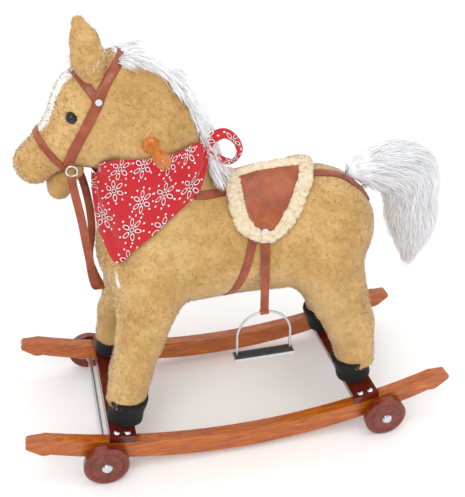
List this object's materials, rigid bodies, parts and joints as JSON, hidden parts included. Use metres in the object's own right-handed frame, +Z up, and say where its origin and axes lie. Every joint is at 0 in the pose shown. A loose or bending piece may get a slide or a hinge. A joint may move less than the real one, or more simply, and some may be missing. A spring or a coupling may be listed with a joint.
{
  "type": "rocking horse",
  "caption": "Stuffed plush horse on a wooden inner frame, standing on two curved wooden rockers with cross boards, side wheels, saddle, hanging stirrups, hand pegs and bridle.",
  "frame": {"origin": "on the floor, midway between the wheel axles and midway between the rockers", "axes": "+X forwards to the head, +Y to the horse's left, +Z up"},
  "size_m": [0.74, 0.35, 0.739],
  "materials": {
    "lacquered_wood": "satin",
    "mahogany_wood": "satin",
    "chrome": "polished",
    "steel": "satin",
    "frame_wood": "matte",
    "tan_plush": "matte",
    "white_fur": "matte",
    "black_vinyl": "satin",
    "black_gloss": "polished",
    "brown_leather": "satin",
    "cream_fleece": "matte",
    "red_cloth": "matte",
    "grey_plastic": "matte"
  },
  "bodies": {
    "horse": {"left_rocker": "lacquered_wood", "right_rocker": "lacquered_wood", "front_cross_board": "mahogany_wood", "rear_cross_board": "mahogany_wood", "cross_board_screws": "chrome", "front_axle": "steel", "rear_axle": "steel", "axle_straps": "steel", "axle_strap_screws": "steel", "wheel_spacers": "steel", "axle_cap_nuts": "chrome", "leg_posts": "frame_wood", "leg_bolts": "steel", "leg_bearers": "frame_wood", "frame_spine": "frame_wood", "neck_post": "frame_wood", "left_handle": "lacquered_wood", "right_handle": "lacquered_wood", "torso": "tan_plush", "neck": "tan_plush", "head": "tan_plush", "jaw_pin": "steel", "left_ear": "tan_plush", "right_ear": "tan_plush", "eyes": "black_gloss", "mane": "white_fur", "forelock": "white_fur", "front_left_leg": "tan_plush", "front_right_leg": "tan_plush", "rear_left_leg": "tan_plush", "rear_right_leg": "tan_plush", "hooves": "black_vinyl", "browband": "brown_leather", "cheek_strap": "brown_leather", "noseband": "brown_leather", "bridle_rings": "chrome", "reins": "brown_leather", "breast_strap": "brown_leather", "girth_strap": "brown_leather", "crupper_strap": "brown_leather", "saddle_seat": "brown_leather", "saddle_flaps": "brown_leather", "fleece_trim": "cream_fleece", "tack_studs": "chrome", "bandana": "red_cloth", "sound_box": "grey_plastic", "gear_motors": "grey_plastic"},
    "front_left_wheel": {"front_left_wheel": "mahogany_wood"},
    "front_right_wheel": {"front_right_wheel": "mahogany_wood"},
    "rear_left_wheel": {"rear_left_wheel": "mahogany_wood"},
    "rear_right_wheel": {"rear_right_wheel": "mahogany_wood"},
    "lower_jaw": {"lower_jaw": "tan_plush"},
    "tail": {"tail_arm": "grey_plastic", "tail": "white_fur"},
    "left_stirrup_strap": {"left_stirrup_strap": "brown_leather"},
    "left_stirrup_iron": {"left_stirrup_iron": "steel"},
    "right_stirrup_strap": {"right_stirrup_strap": "brown_leather"},
    "right_stirrup_iron": {"right_stirrup_iron": "steel"},
    "ear_button": {"ear_button": "grey_plastic"}
  },
  "joints": [
    {"name": "front_left_wheel_spin", "type": "hinge", "parent": "horse", "child": "front_left_wheel", "pos_m": [0.246, 0.15935, 0.03775], "axis": [0, 1, 0], "continuous": true},
    {"name": "front_right_wheel_spin", "type": "hinge", "parent": "horse", "child": "front_right_wheel", "pos_m": [0.246, -0.15935, 0.03775], "axis": [0, 1, 0], "continuous": true},
    {"name": "rear_left_wheel_spin", "type": "hinge", "parent": "horse", "child": "rear_left_wheel", "pos_m": [-0.246, 0.15935, 0.03775], "axis": [0, 1, 0], "continuous": true},
    {"name": "rear_right_wheel_spin", "type": "hinge", "parent": "horse", "child": "rear_right_wheel", "pos_m": [-0.246, -0.15935, 0.03775], "axis": [0, 1, 0], "continuous": true},
    {"name": "jaw_close", "type": "hinge", "parent": "horse", "child": "lower_jaw", "pos_m": [0.24, 0, 0.503], "axis": [0, -1, 0], "range_deg": [0, 12]},
    {"name": "tail_wag", "type": "hinge", "parent": "horse", "child": "tail", "pos_m": [-0.224, 0, 0.409], "axis": [0, 0, 1], "range_deg": [-15, 15]},
    {"name": "left_stirrup_strap_swing", "type": "hinge", "parent": "horse", "child": "left_stirrup_strap", "pos_m": [-0.036, 0.087, 0.404], "axis": [0, -1, 0], "range_deg": [-10, 12]},
    {"name": "left_stirrup_iron_swing", "type": "hinge", "parent": "left_stirrup_strap", "child": "left_stirrup_iron", "pos_m": [-0.036, 0.1012, 0.257], "axis": [1, 0, 0], "range_deg": [-12, 25]},
    {"name": "right_stirrup_strap_swing", "type": "hinge", "parent": "horse", "child": "right_stirrup_strap", "pos_m": [-0.036, -0.087, 0.404], "axis": [0, -1, 0], "range_deg": [-10, 12]},
    {"name": "right_stirrup_iron_swing", "type": "hinge", "parent": "right_stirrup_strap", "child": "right_stirrup_iron", "pos_m": [-0.036, -0.1012, 0.257], "axis": [-1, 0, 0], "range_deg": [-12, 25]},
    {"name": "ear_button_press", "type": "slide", "parent": "horse", "child": "ear_button", "axis": [0, 0, -1], "range_m": [0, 0.0015], "stiffness_N_per_m": 200}
  ]
}
